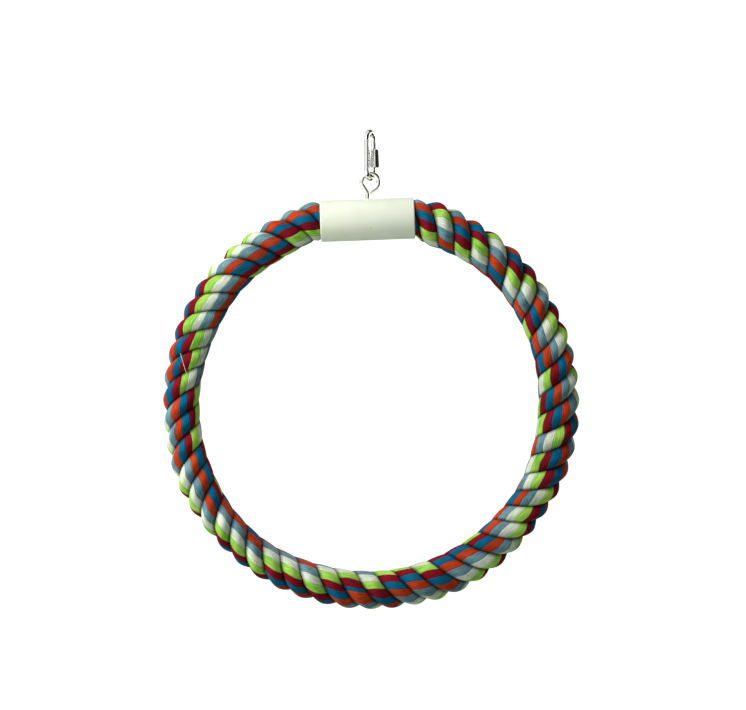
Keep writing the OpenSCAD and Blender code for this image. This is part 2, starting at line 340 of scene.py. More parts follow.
bend_centre_r = ring_r - mouth_bend_r
straight_half = sleeve_l / 2 + mouth_run
bend_angle = math.asin(straight_half / bend_centre_r)
sleeve_h = mouth_bend_r + bend_centre_r * math.cos(bend_angle)
round_start = straight_half + mouth_bend_r * bend_angle
loop_length = 2 * (round_start + ring_r * (math.pi - bend_angle))
rope_start = sleeve_shift + end_space / 2
rope_end = loop_length + sleeve_shift - end_space / 2
squeezed_r = sleeve_r - sleeve_wall - bore_gap

low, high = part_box("connector_sleeve")
sleeve_centre = (low + high) / 2
ring_turn = Matrix.Rotation(-sleeve_tilt, 4, "Y")
ring_axes = Matrix.Translation(sleeve_centre - ring_turn @ Vector((sleeve_shift, 0, sleeve_h))) @ ring_turn
print("ring centre in mm:", [round(v / MM, 2) for v in ring_axes.translation])
print("rope length in mm:", round((rope_end - rope_start) / MM, 1))

# %% [markdown]
# A rope that is laid and bent by hand is never quite even. Here and there it is fuller or slimmer in the
# ring's plane, strays a little from the round, or a strand crosses the front early or late. The three lists
# below say by how much: a share of the way round, clockwise from the top, and then the rope's thickness as a
# share, how far it strays outwards in radii of the rope, and the slip of the lay in degrees.

# %% How the rope varies
fullness_list = [
    *[(0, 1), (0.044, 1), (0.065, 1.15), (0.086, 1.055), (0.117, 1.02), (0.195, 1.02)],
    *[(0.247, 1.04), (0.273, 1.078), (0.315, 1.043), (0.335, 0.976), (0.353, 0.966)],
    *[(0.428, 1.061), (0.45, 1.048), (0.475, 0.986), (0.533, 0.97), (0.571, 0.936), (0.616, 0.874)],
    *[(0.653, 0.892), (0.688, 0.968), (0.701, 0.965), (0.734, 0.937), (0.755, 0.931)],
    *[(0.82, 1.007), (0.85, 0.994), (0.918, 0.998), (0.934, 1.014), (0.951, 1.004), (0.957, 0.993)],
    *[(1, 1)],
]
stray_list = [
    *[(0, 0), (0.044, 0), (0.055, -0.03), (0.067, 0), (0.083, -0.038), (0.132, 0.081)],
    *[(0.183, 0.035), (0.217, 0.038), (0.257, 0.008), (0.324, 0.069), (0.369, 0.004)],
    *[(0.428, 0.048), (0.45, 0.03), (0.475, -0.004), (0.55, -0.013), (0.602, 0.078)],
    *[(0.684, 0.043), (0.701, 0.019), (0.734, -0.047), (0.784, -0.104), (0.82, -0.121)],
    *[(0.833, -0.118), (0.867, -0.069), (0.884, -0.078), (0.918, -0.161), (0.937, -0.117)],
    *[(0.951, -0.037), (0.958, -0.007), (1, 0)],
]
slip_list = [
    *[(0, 0), (0.055, -4), (0.104, 20), (0.145, 0), (0.247, 5), (0.288, -14), (0.324, -16), (0.374, 4)],
    *[(0.446, -2), (0.517, 10), (0.571, 0), (0.701, 0), (0.753, 10), (0.805, 0), (0.863, -8)],
    *[(0.885, -20), (0.918, -6), (0.954, 6), (1, 0)],
]


def varied(s, pairs):
    """The value at lengths s along the rope, from a list of pairs."""
    return np.interp(s / loop_length, *zip(*pairs))


print("listed places:", len(fullness_list) + len(stray_list) + len(slip_list))

# %% [markdown]
# Next come the middle line itself, the turn of each strand round it, and the outline of a strand's section.

# %% The middle line and the lay
def middle_line(s):
    """x and z of the rope's middle from the ring's centre, and its heading, at lengths s from the top."""
    left_half = s > loop_length / 2
    t = np.where(left_half, loop_length - s, s)
    in_sleeve = t < straight_half
    in_bend = t < round_start
    heading = np.where(in_bend, (t - straight_half) / mouth_bend_r, bend_angle + (t - round_start) / ring_r)
    heading = np.where(in_sleeve, 0, heading)
    x = np.where(in_bend, straight_half + mouth_bend_r * np.sin(heading), ring_r * np.sin(heading))
    z = np.where(in_bend, sleeve_h - mouth_bend_r * (1 - np.cos(heading)), ring_r * np.cos(heading))
    x = np.where(in_sleeve, t, x)
    side = np.where(left_half, -1, 1)
    return side * x, z, side * heading


def lay_turn(s, strand):
    """Angle of a strand round the rope, from the ring's outer edge towards its front, at lengths s."""
    slip = np.radians(varied(s, slip_list))
    even = lay_start - strand * strand_angle + 2 * math.pi * s / lay_length
    return even + lay_drift * np.sin(math.pi * s / loop_length) + slip


def outline_radius(a, turn):
    """Radius of a strand's outline at angles a from its crown, which stands at a turn round the rope.
    A round strand is cut at the lay angle, and pressed flat towards the inside of the ring."""
    w = 1 + (a * lay_share) ** 2
    free = (middle_share + np.sqrt(middle_share**2 - w * (middle_share**2 - strand_share**2))) / w
    pressed = pressed_share - pressed_edge_share * (2 * a / strand_angle) ** 2
    t = np.maximum(0, (-np.cos(turn + a) - press_start_share) / (1 - press_start_share))
    pressing = t * t * (3 - 2 * t)
    return rope_r * (free * (1 - pressing) + pressed * pressing)


def on_the_ring(s, out, front):
    """Points in the CAD model's axes from places in the rope's section, squeezed where the sleeve is."""
    x, z, heading = (v[:, None] for v in middle_line(s))
    out = out * varied(s, fullness_list)[:, None] + rope_r * varied(s, stray_list)[:, None]
    px = x + out * np.sin(heading)
    py = -front
    pz = z + out * np.cos(heading) - sleeve_h
    past = np.maximum(0, np.abs(px - sleeve_shift) - sleeve_l / 2 - bore_gap)
    limit = squeezed_r + past * flare_share
    far = np.hypot(py, pz)
    held = (pz > -sleeve_h) & (far > limit) & (past < sleeve_wall + rope_r)
    tight = np.where(held, limit / np.maximum(far, limit), 1)
    points = np.stack([px, py * tight, pz * tight + sleeve_h, np.ones_like(px)], axis=-1)
    return points @ np.array(ring_axes).T[:, :3]


strand_turns = (lay_turn(rope_end, 0) - lay_turn(rope_start, 0)) / (2 * math.pi)
print("turns of each strand round the rope:", round(strand_turns, 2))

# %% [markdown]
# ## The dyed yarns
# Each strand is twisted from six bundles of cotton yarn, always in the same order: slate, orange, blue,
# crimson, lime and cream. The strand's own twist is the opposite of the rope's, so on the surface the yarns
# run almost straight along the rope, and each crown shows four and a half colours. A colour's place therefore
# depends only on the angle round the rope, counted on from turn to turn.
#
# A list for each strand, with one value for every turn, says which colour lies in the middle of the
# front: 0 to 1 is slate, 1 to 2 orange, and so on, and 6 more for each full round of colours. The twist was
# not quite the same in the three strands, so each has its own list.

# %% Where the colours lie
yarn_colours = ["slate", "orange", "blue", "crimson", "lime", "cream"]
colour_count = len(yarn_colours)
front_colours = [
    [
        *[2.91, 4.44, 5.59, 6.53, 8.27, 9.83, 11.5, 12.61, 13.94],
        *[15.17, 16.2, 17.28, 18.81, 20.13, 21.72, 23.58, 25.51, 27.05],
    ],
    [
        *[5.76, 6.9, 7.94, 9.09, 10.7, 11.91, 13.44, 14.65, 15.77],
        *[16.97, 17.86, 19.17, 20.89, 22.11, 23.55, 25.81, 27.28, 29.0],
    ],
    [
        *[2.94, 4.13, 5.64, 7.27, 8.91, 10.66, 12.29, 13.39, 14.57],
        *[15.99, 17.17, 18.5, 19.9, 21.31, 23.37, 24.99, 26.95, 28.85],
    ],
]
front_turns = np.arange(len(front_colours[0]))
# A strand first crosses the front a turn and a quarter after the outer edge from which its turns are counted
first_front = 1.25
places_per_turn = 2 * colour_count
turns_beyond = 3


def colour_line(strand):
    """Angles round the rope, counted on over the turns, and the colour places at them. Both are carried on
    past the list's ends, into the sleeve."""
    turns = np.concatenate([[front_turns[0] - turns_beyond], front_turns, [front_turns[-1] + turns_beyond]])
    shown = np.array(front_colours[strand])
    slope = (shown[-1] - shown[0]) / (front_turns[-1] - front_turns[0])
    shown = np.concatenate([[shown[0] - turns_beyond * slope], shown, [shown[-1] + turns_beyond * slope]])
    return (turns + first_front) * 2 * math.pi, shown + places_per_turn * turns


for strand in range(strand_count):
    crossings = [yarn_colours[int(v) % colour_count] for v in front_colours[strand]]
    print(f"strand {strand + 1} shows at the front:", ", ".join(crossings))

# %% [markdown]
# The outline of a strand's section is followed once round: over the crown, and then along the two flat sides
# where it presses on its neighbours, in to the rope's heart and out again. Six colours share that way. A
# bundle is a wedge between two of its borders, with a ridge for each of its yarns, and its section is drawn
# at every station along the rope. The borders wander a little, as the twist did. The mesh is worked out as
# points and faces, because no modifier knows where a rope's strands press on each other.

# %% Stations along the rope
stations_per_turn = 48
station_count = math.ceil((rope_end - rope_start) / lay_length * stations_per_turn)
stations = np.linspace(rope_start, rope_end, station_count + 1)
chance = np.random.default_rng(29)


def wander(s, waves=5, shortest=30 * MM, longest=120 * MM):
    """A smooth random curve along the rope, about 1 high."""
    lengths = chance.uniform(shortest, longest, waves)
    phases = chance.uniform(0, 2 * math.pi, waves)
    return sum(np.sin(2 * math.pi * s / l + p) for l, p in zip(lengths, phases)) / math.sqrt(waves)


print("stations:", len(stations))

# %% A strand's section and its yarns
yarns = 5
points_per_yarn = 5
yarn_groove = 0.24 * MM
border_groove = 0.22 * MM
border_width_share = 0.05
ridge_power = 0.8
across = np.linspace(0, 1, yarns * points_per_yarn + 1)


def section_point(a, turn, hidden, on_crown):
    """Places in the section, with the strand's crown along the first axis. They lie on the crown at angles a,
    or on the flat sides, where hidden goes from 0 at one edge over the rope's heart to 1 at the other."""
    half = strand_angle / 2
    inset = strand_gap / 2
    crown = outline_radius(a, turn)[..., None] * np.stack([np.cos(a), np.sin(a)], axis=-1)
    heart = np.array([inset / math.sin(half), 0])
    edges = []
    for side in (1, -1):
        reach = outline_radius(side * half + 0 * turn, turn)[..., None]
        into = inset * np.array([math.sin(half), -side * math.cos(half)])
        edges.append(reach * [math.cos(half), side * math.sin(half)] + into)
    inwards = np.clip(2 * hidden, 0, 1)[..., None]
    outwards = np.clip(2 * hidden - 1, 0, 1)[..., None]
    flat = edges[0] * (1 - inwards) + heart * (inwards - outwards) + edges[1] * outwards
    return np.where(on_crown[..., None], crown, flat)


def yarn_relief():
    """How deep each point of a bundle's outline lies under the smooth strand."""
    ridge = np.abs(np.sin(math.pi * yarns * across)) ** ridge_power
    to_border = np.minimum(across, 1 - across)
    return yarn_groove * (1 - ridge) + border_groove * np.exp(-((to_border / border_width_share) ** 2))


print("yarn relief in mm, at most:", round(yarn_relief().max() / MM, 2))

# %% One bundle's mesh
heart_share = 0.3
swell_most = 0.10 * MM
swell_room = 0.12 * MM
band_width = 6.1 * MM


def bundle_mesh(name, strand, colour, borders):
    """The closed mesh of one bundle. Its yarn map gives the place along and across the yarn in metres, and
    its groove map goes from 0 in the middle of the crown to 1 in the grooves beside it."""
    angles, places = colour_line(strand)
    turn = lay_turn(stations, strand)[:, None]
    half = strand_angle / 2
    first = np.interp(turn - half, angles, places)
    crown_part = np.interp(turn + half, angles, places) - first
    left = colour + borders[colour][:, None]
    right = colour + 1 + borders[(colour + 1) % colour_count][:, None]
    t = (left + (right - left) * across - first) % colour_count
    on_crown = t < crown_part
    a = np.clip(np.interp(first + t, places, angles) - turn, -half, half)
    hidden = np.clip((t - crown_part) / (colour_count - crown_part), 0, 1)
    sunk = np.where(on_crown, np.abs(a) / half, 1)
    section = section_point(a, turn, hidden, on_crown)
    middle = np.array([middle_share * rope_r, 0])
    off = section - middle
    far = np.linalg.norm(off, axis=-1, keepdims=True)
    swell = swell_most * wander(stations)[:, None] - swell_room
    section = middle + off * (1 + (swell - yarn_relief())[..., None] / far)
    heart = middle + (section[:, [-1, 0]] - middle) * heart_share
    ring = np.concatenate([section, heart], axis=1)
    out = ring[..., 0] * np.cos(turn) - ring[..., 1] * np.sin(turn)
    front = ring[..., 0] * np.sin(turn) + ring[..., 1] * np.cos(turn)
    points = on_the_ring(stations, out, front)

    rows, corners = points.shape[:2]
    j, i = np.meshgrid(np.arange(rows - 1), np.arange(corners), indexing="ij")
    here = j * corners + i
    beside = j * corners + (i + 1) % corners
    faces = np.stack([here, beside, beside + corners, here + corners], axis=-1).reshape(-1, 4).tolist()
    faces.append(list(range(corners))[::-1])
    faces.append([(rows - 1) * corners + k for k in range(corners)])
    mesh = bpy.data.meshes.new(name)
    mesh.from_pydata(points.reshape(-1, 3).tolist(), [], faces)
    along = np.repeat(stations[:, None], corners, axis=1)
    over = np.concatenate([colour + across, [colour + 1, colour]]) * band_width
    sunk = np.concatenate([sunk, np.ones((rows, 2))], axis=1)
    yarn_map = np.stack([along, np.repeat(over[None], rows, axis=0)], axis=-1).reshape(-1, 2)
    groove_map = np.stack([sunk, along], axis=-1).reshape(-1, 2)
    corner_points = np.zeros(len(mesh.loops), int)
    mesh.loops.foreach_get("vertex_index", corner_points)
    for map_name, uv in (("yarn", yarn_map), ("groove", groove_map)):
        mesh.uv_layers.new(name=map_name).data.foreach_set("uv", uv[corner_points].ravel())
    mesh.polygons.foreach_set("use_smooth", [True] * len(mesh.polygons))
    mesh.update()
    return mesh


# %% [markdown]
# ## Dyed cotton
# Carded cotton yarn, twisted and piece-dyed: matt, slightly fuzzy, with a pale halo of fibres at grazing
# angles, which is what sheen is for. Single fibres are far too fine to see, so the streaks are drawn 0.45 mm
# wide, as thick as many fibres, and fifteen times as long along the yarn. They follow the yarn map, so they
# turn with the strand. A slow cloudiness over 15 mm is the dye, and a fine slanted ripple is the twist. In
# the last few millimetres beside a groove the colour is darkened, which is painted shade for the grooves.

# %% Cotton materials
streak_width = 0.45 * MM
streak_length = 7 * MM
dye_patch = 15 * MM
twist_pitch = 0.9 * MM
twist_slant = math.radians(35)
fibre_height = 0.10 * MM
patch_share = 0.35
twist_share = 0.4
# Painted groove shade: where it starts, as a share of the way from the crown's middle to a groove, and how
# dark the colour gets there
groove_shade_start = 0.66
groove_shade_tone = 0.45
# A wave texture of scale 1 repeats after this length
wave_period = 0.314
cotton = {
    "slate": ("#3a5e6a", "#80a8b2"),
    "orange": ("#8e2410", "#ce4a20"),
    "blue": ("#004662", "#007096"),
    "crimson": ("#600616", "#921024"),
    "lime": ("#58a626", "#c0ea6c"),
    "cream": ("#a8b4a0", "#eef2e0"),
}


def dyed_cotton(name, deep, pale):
    """Cotton yarn between two tones of one dye, darkened beside the grooves as painted shade."""
    material, tree, shader = new_material(
        name, Roughness=0.9, Specular_IOR_Level=0.12, Sheen_Weight=0.08, Sheen_Roughness=0.45
    )
    shader.inputs["Sheen Tint"].default_value = linear(pale)
    yarn = add_node(tree, "ShaderNodeUVMap", uv_map="yarn")
    stretched = add_node(
        tree,
        "ShaderNodeMapping",
        {"Vector": yarn.outputs[0], "Scale": (1 / streak_length, 1 / streak_width, 1)},
    )
    streaks = add_node(
        tree,
        "ShaderNodeTexNoise",
        {"Vector": stretched.outputs[0], "Scale": 1.0, "Detail": 3.0, "Roughness": 0.6},
    )
    place = add_node(tree, "ShaderNodeTexCoord")
    patches = add_node(
        tree, "ShaderNodeTexNoise", {"Vector": place.outputs["Object"], "Scale": 1 / dye_patch}
    )
    both = add_node(
        tree,
        "ShaderNodeMix",
        {0: patch_share, 2: streaks.outputs["Fac"], 3: patches.outputs["Fac"]},
        data_type="FLOAT",
    )
    wide = add_node(
        tree, "ShaderNodeMapRange", {"Value": both.outputs[0], "From Min": 0.36, "From Max": 0.64}
    )
    tone = add_node(
        tree,
        "ShaderNodeMix",
        {0: wide.outputs["Result"], 6: linear(deep), 7: linear(pale)},
        data_type="RGBA",
    )
    # Painted shade: the colour darkens smoothly towards the grooves beside each crown
    groove = add_node(tree, "ShaderNodeUVMap", uv_map="groove")
    depth = add_node(tree, "ShaderNodeSeparateXYZ", {0: groove.outputs[0]})
    painted_groove_shade = add_node(
        tree,
        "ShaderNodeMapRange",
        {"Value": depth.outputs[0], "From Min": groove_shade_start, "To Min": 1.0, "To Max": groove_shade_tone},
        interpolation_type="SMOOTHSTEP",
    )
    dye_and_groove_shade = add_node(
        tree,
        "ShaderNodeVectorMath",
        {0: tone.outputs[2], "Scale": painted_groove_shade.outputs["Result"]},
        operation="SCALE",
    )
    tree.links.new(dye_and_groove_shade.outputs[0], shader.inputs["Base Color"])
    slanted = add_node(
        tree, "ShaderNodeMapping", {"Vector": yarn.outputs[0], "Rotation": (0, 0, twist_slant)}
    )
    twist = add_node(
        tree,
        "ShaderNodeTexWave",
        {"Vector": slanted.outputs[0], "Scale": wave_period / twist_pitch, "Distortion": 2.0},
    )
    height = add_node(
        tree,
        "ShaderNodeMix",
        {0: twist_share, 2: streaks.outputs["Fac"], 3: twist.outputs["Fac"]},
        data_type="FLOAT",
    )
    bump = add_node(
        tree, "ShaderNodeBump", {"Height": height.outputs[0], "Strength": 0.6, "Distance": fibre_height}
    )
    tree.links.new(bump.outputs[0], shader.inputs["Normal"])
    return material


cotton_materials = {name: dyed_cotton("dyed_cotton_" + name, *tones) for name, tones in cotton.items()}
print("cotton dyes:", ", ".join(cotton_materials))

# %% [markdown]
# Every bundle is its own piece and rides with the ring. Six together take the place of one strand of the CAD
# model. At the bottom of the ring the third strand's blue yarns are squeezed to a narrow dark lens by the
# orange ones, so one border has a bump there.

# %% All eighteen bundles
border_wander = 0.07
pinched_strand = 2
pinched_border = yarn_colours.index("blue")
pinch_centre = 399 * MM
pinch_width = 14 * MM
pinch_most = 0.55
for strand in range(strand_count):
    borders = [border_wander * wander(stations) for _ in yarn_colours]
    if strand == pinched_strand:
        borders[pinched_border] = pinch_most * np.exp(-(((stations - pinch_centre) / pinch_width) ** 2))
    for colour, name in enumerate(yarn_colours):
        mesh = bundle_mesh(f"{name}_yarns_{strand + 1}", strand, colour, borders)
        mesh.materials.append(cotton_materials[name])
        bundle = bpy.data.objects.new(mesh.name, mesh)
        bpy.context.collection.objects.link(bundle)
        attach(bundle, "ring")
        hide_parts(f"rope_strand_{strand + 1}")
print("faces in one bundle:", len(mesh.polygons))

# %% [markdown]
# ## One loose thread
# A single pale orange thread has worked loose on the left of the ring. It climbs out of one groove, lies
# across a crimson crown and dips into the next groove. It is a curve that is led by a few listed points,
# given a round section and then turned into a mesh.

# %% The loose thread
thread_d = 0.4 * MM
thread_fibre = 0.6 * MM
thread_points = [
    (-122.2, -9.4, -142.4),
    (-121.6, -12.0, -144.2),
    (-120.5, -13.1, -147.6),
    (-119.4, -13.2, -151.0),
    (-118.6, -12.9, -153.6),
    (-118.0, -11.8, -155.8),
    (-117.5, -9.8, -157.6),
]
thread_curve = bpy.data.curves.new("loose_thread", "CURVE")
thread_curve.dimensions = "3D"
thread_curve.bevel_depth = thread_d / 2
thread_curve.bevel_resolution = 3
thread_curve.use_fill_caps = True
spline = thread_curve.splines.new("NURBS")
spline.points.add(len(thread_points) - 1)
for point, place in zip(spline.points, thread_points):
    point.co = (*(v * MM for v in place), 1)
spline.use_endpoint_u = True
spline.order_u = 4
spline.resolution_u = 8
thread = bpy.data.objects.new("loose_thread", thread_curve)
bpy.context.collection.objects.link(thread)
pick(thread)
bpy.ops.object.convert(target="MESH")
thread = bpy.context.object
bpy.ops.object.shade_smooth()

thread_material, tree, shader = new_material("loose_cotton_thread", Roughness=0.85, Specular_IOR_Level=0.2)
_, tone = clouded(tree, thread_fibre, "#e2a878", "#f4d8b4")
tree.links.new(tone, shader.inputs["Base Color"])
thread.data.materials.append(thread_material)
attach(thread, "ring")
print("thread faces:", len(thread.data.polygons))

# %% [markdown]
# ## The plastic sleeve
# A piece of three-quarter inch PVC water pipe, sawn to length, with its outer rims eased and its bore nearly
# sharp. It starts as a tube of plain sides. Solidify gives it the pipe's wall, the rims are picked by where
# they lie and bevelled, and two booleans take away the eye bolt's drilled hole and a small scuff on the
# front. The drill has thrown up a soft burr round the hole, which is a torus of its own.

# %% The sleeve, sawn and eased
sleeve_sides = 128
outer_rim_r = 0.8 * MM
inner_rim_r = 0.25 * MM
sleeve_axes = ring_axes @ Matrix.Translation((sleeve_shift, 0, sleeve_h))
sleeve_axes = sleeve_axes @ Matrix.Rotation(math.pi / 2, 4, "Y")


def apply_modifier(piece, kind, **settings):
    """Adds a modifier to a piece and applies it at once."""
    modifier = piece.modifiers.new(kind.lower(), kind)
    for name, value in settings.items():
        setattr(modifier, name, value)
    bpy.context.view_layer.objects.active = piece
    bpy.ops.object.modifier_apply(modifier=modifier.name)


def cut_away(piece, tool):
    """Takes one solid away from another and deletes it."""
    apply_modifier(piece, "BOOLEAN", operation="DIFFERENCE", solver="EXACT", object=tool)
    bpy.data.objects.remove(tool)


bpy.ops.mesh.primitive_cylinder_add(
    vertices=sleeve_sides, radius=sleeve_r, depth=sleeve_l, end_fill_type="NOTHING"
)
sleeve = started("pvc_sleeve")
apply_modifier(sleeve, "SOLIDIFY", thickness=sleeve_wall, offset=-1)
near = MM / 10
rim = sleeve_l / 2 - near
pick_edges(sleeve, lambda middle: abs(middle.z) > rim and middle.xy.length > sleeve_r - near)
bpy.ops.mesh.bevel(offset=outer_rim_r, segments=6, affect="EDGES")
pick_edges(sleeve, lambda middle: abs(middle.z) > rim and middle.xy.length < sleeve_r - sleeve_wall + near)
bpy.ops.mesh.bevel(offset=inner_rim_r, segments=2, affect="EDGES")
bpy.ops.object.mode_set(mode="OBJECT")
sleeve.matrix_world = sleeve_axes
settle(sleeve)
print("sleeve faces, undrilled:", len(sleeve.data.polygons))

# %% The drilled hole and the scuff
eye_wire_r = 1.4 * MM
bolt_gap = 0.1 * MM
bolt_hole_r = eye_wire_r + bolt_gap
bpy.ops.mesh.primitive_cylinder_add(
    vertices=48, radius=bolt_hole_r, depth=2 * sleeve_r, location=sleeve_centre + Vector((0, 0, sleeve_r))
)
cut_away(sleeve, started("drill"))

# The scuff lies low on the front, just right of the middle
scuff_size = Vector((0.42, 0.9, 1.3)) * MM
scuff_x = 0.5 * MM
scuff_z = -61.7 * MM
scuff_depth = 0.8 * MM
scuff_y = -math.sqrt(sleeve_r**2 - (scuff_z - sleeve_centre.z) ** 2)
bpy.ops.mesh.primitive_uv_sphere_add(
    segments=24,
    ring_count=16,
    radius=1,
    scale=scuff_size,
    location=(scuff_x, scuff_y - scuff_size.y + scuff_depth, scuff_z),
    rotation=(0, math.radians(35), 0),
)
cut_away(sleeve, started("scuff"))
pick(sleeve)
bpy.ops.object.shade_smooth_by_angle(angle=math.radians(32))
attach(sleeve, "ring")
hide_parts("connector_sleeve")
print("sleeve faces:", len(sleeve.data.polygons))

# %% The drill's burr
eye_offset = 1.7 * MM
burr_r = 0.42 * MM
burr_sunk_share = 0.3
hole_top = sleeve_centre.z + sleeve_r / math.cos(sleeve_tilt)
bpy.ops.mesh.primitive_torus_add(
    major_segments=48,
    minor_segments=12,
    major_radius=bolt_hole_r + burr_r,
    minor_radius=burr_r,
    location=(-eye_offset, 0, hole_top - burr_sunk_share * burr_r),
    rotation=(0, -sleeve_tilt, 0),
)
burr = started("drill_burr")
bpy.ops.object.shade_smooth()
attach(burr, "ring")
print("burr faces:", len(burr.data.polygons))

# %% [markdown]
# The sleeve's finish is that of rigid PVC pipe, extruded: an ivory white with a soft shine. The die leaves
# faint lines along the pipe, some tenths of a millimetre apart, and handling has dulled it here and there
# over a centimetre or so.

# %% PVC
die_lines = 0.7 * MM
die_line_length = 60 * die_lines
die_line_height = 0.04 * MM
handling = 11 * MM
pvc, tree, shader = new_material("extruded_pvc", IOR=1.54, Specular_IOR_Level=0.4)
smears, tone = clouded(tree, handling, "#e6ecd6", "#f5f8e8", detail=4.0)
tree.links.new(tone, shader.inputs["Base Color"])
dulled = add_node(tree, "ShaderNodeMapRange", {"Value": smears, "To Min": 0.42, "To Max": 0.6})
tree.links.new(dulled.outputs["Result"], shader.inputs["Roughness"])
place = add_node(tree, "ShaderNodeTexCoord")
along = add_node(
    tree,
    "ShaderNodeMapping",
    {
        "Vector": place.outputs["Object"],
        "Rotation": (0, sleeve_tilt, 0),
        "Scale": (1 / die_line_length, 1 / die_lines, 1 / die_lines),
    },
)
lines = add_node(tree, "ShaderNodeTexNoise", {"Vector": along.outputs[0], "Scale": 1.0})
bump = add_node(
    tree, "ShaderNodeBump", {"Height": lines.outputs["Fac"], "Strength": 0.35, "Distance": die_line_height}
)
tree.links.new(bump.outputs[0], shader.inputs["Normal"])
for piece in (sleeve, burr):
    piece.data.materials.clear()
    piece.data.materials.append(pvc)
    print(piece.name, "is of", pvc.name)

# %% [markdown]
# ## The wire eye
# The eye bolt is one length of 2.8 mm wire. Its straight shank goes down through the sleeve, where it is
# threaded for a nut. Above, the wire leans to the left, runs round the eye and comes back to the shank, where
# its sheared end stops just short. It is drawn out as a wire bender would work: a circle of points is the
# wire's section, an extrusion is a straight run and a spin is a bend. Where a thread is wanted, the run is
# drawn in many short steps, and the points are then moved in and out along a helix.

# %% Bending wire
wire_sides = 32
thread_steps_per_pitch = 6
tip = 0.35 * MM
cut_share = 0.78
# Points that lie farther from a thread's axis than this belong to another part of the wire
thread_reach = 2 * eye_wire_r


def run_on(direction, length, steps=1):
    """Draws the wire's open end straight on."""
    step = Vector(direction).normalized() * length / steps
    for _ in range(steps):
        bpy.ops.mesh.extrude_region_move(TRANSFORM_OT_translate={"value": step})


def wire_start(name, radius, place):
    """A wire's lower end with its chamfer, in edit mode: a circle of points, drawn upwards and widened."""
    bpy.ops.mesh.primitive_circle_add(vertices=wire_sides, radius=radius * cut_share, location=place)
    wire = started(name)
    bpy.ops.object.mode_set(mode="EDIT")
    bpy.ops.mesh.select_mode(type="VERT")
    bpy.ops.mesh.select_all(action="SELECT")
    run_on((0, 0, 1), tip)
    bpy.ops.transform.resize(value=(1 / cut_share,) * 3, center_override=Vector(place) + Vector((0, 0, tip)))
    return wire


def bend_on(centre, angle, steps):
    """Bends the wire's open end round a centre in the XZ plane; a positive angle turns it to the left."""
    bpy.ops.mesh.spin(steps=steps, angle=angle, center=centre, axis=(0, 1, 0))


def wire_close(wire, direction, place):
    """Draws the wire on by its chamfer, fills its open ends and turns the faces outwards."""
    run_on(direction, tip)
    bpy.ops.transform.resize(value=(cut_share,) * 3, center_override=place)
    bpy.ops.mesh.select_all(action="SELECT")
    bpy.ops.mesh.fill_holes(sides=wire_sides)
    bpy.ops.mesh.select_all(action="SELECT")
    bpy.ops.mesh.normals_make_consistent(inside=False)
    bpy.ops.object.mode_set(mode="OBJECT")
    bpy.ops.object.shade_smooth_by_angle(angle=math.radians(50))


def cut_thread(wire, axis, low, high, pitch, depth):
    """Moves the points between two heights in and out along a right-handed helix round an upright axis."""
    for vertex in wire.data.vertices:
        off = vertex.co - Vector((axis[0], axis[1], vertex.co.z))
        if low < vertex.co.z < high and off.length < thread_reach:
            turns = vertex.co.z / pitch - math.atan2(off.y, off.x) / (2 * math.pi)
            cut = depth * 2 * abs(turns % 1 - 0.5)
            vertex.co -= off.normalized() * cut


# %% The eye
eye_outer_d = 13.7 * MM
eye_r = eye_outer_d / 2 - eye_wire_r
neck_l = 3.6 * MM
shank_bend_r = 3.2 * MM
wire_end_gap = 0.1 * MM
eye_thread_pitch = 0.5 * MM
eye_thread_depth = 0.25 * MM
eye_low, eye_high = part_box("eye_bolt")
eye_centre = Vector((0, 0, eye_high.z - eye_wire_r - eye_r))
fork = Vector((-eye_offset, 0, hole_top + neck_l))


def eye_touch(side):
    """The point where a line from the fork touches the eye's middle line, on the left or the right."""
    arm = fork - eye_centre
    angle = math.atan2(arm.z, arm.x) + side * math.acos(eye_r / arm.length)
    return eye_centre + eye_r * Vector((math.cos(angle), 0, math.sin(angle))), angle


left_touch, left_angle = eye_touch(-1)
right_touch, right_angle = eye_touch(1)
left_lean = math.atan2(fork.x - left_touch.x, left_touch.z - fork.z)
bend_run = shank_bend_r * math.tan(left_lean / 2)
eye_start = Vector((-eye_offset, 0, eye_low.z))
thread_top = fork.z - neck_l - sleeve_wall - MM
thread_length = thread_top - eye_start.z - tip
eye_bolt = wire_start("wire_eye", eye_wire_r, eye_start)
run_on((0, 0, 1), thread_length, math.ceil(thread_length / eye_thread_pitch * thread_steps_per_pitch))
run_on((0, 0, 1), fork.z - bend_run - thread_top, steps=4)
bend_on(fork - Vector((shank_bend_r, 0, bend_run)), left_lean, steps=8)
arm = left_touch - fork
run_on(arm, arm.length - bend_run, steps=3)
bend_on(eye_centre, right_angle - left_angle - 2 * math.pi, steps=56)
back = fork - right_touch
fork_angle = left_lean + math.atan2(right_touch.x - fork.x, right_touch.z - fork.z)
cut = (eye_wire_r * (1 + math.cos(fork_angle)) + wire_end_gap) / math.sin(fork_angle)
run_on(back, back.length - cut - tip, steps=3)
wire_close(eye_bolt, back, fork - back.normalized() * cut)
cut_thread(eye_bolt, eye_start.xy, eye_low.z, thread_top, eye_thread_pitch, eye_thread_depth)
print("eye faces:", len(eye_bolt.data.polygons))

# %% [markdown]
# ## The quick link
# A link of 3.3 mm rod, closed by a long sleeve nut on one limb. It is drawn from the cut end above the
# opening, over the top bend, down the plain limb, round the bottom bend and up to the second cut end. Both
# ends are threaded: when the nut runs back up the rod, the eye can be lifted out through the opening.

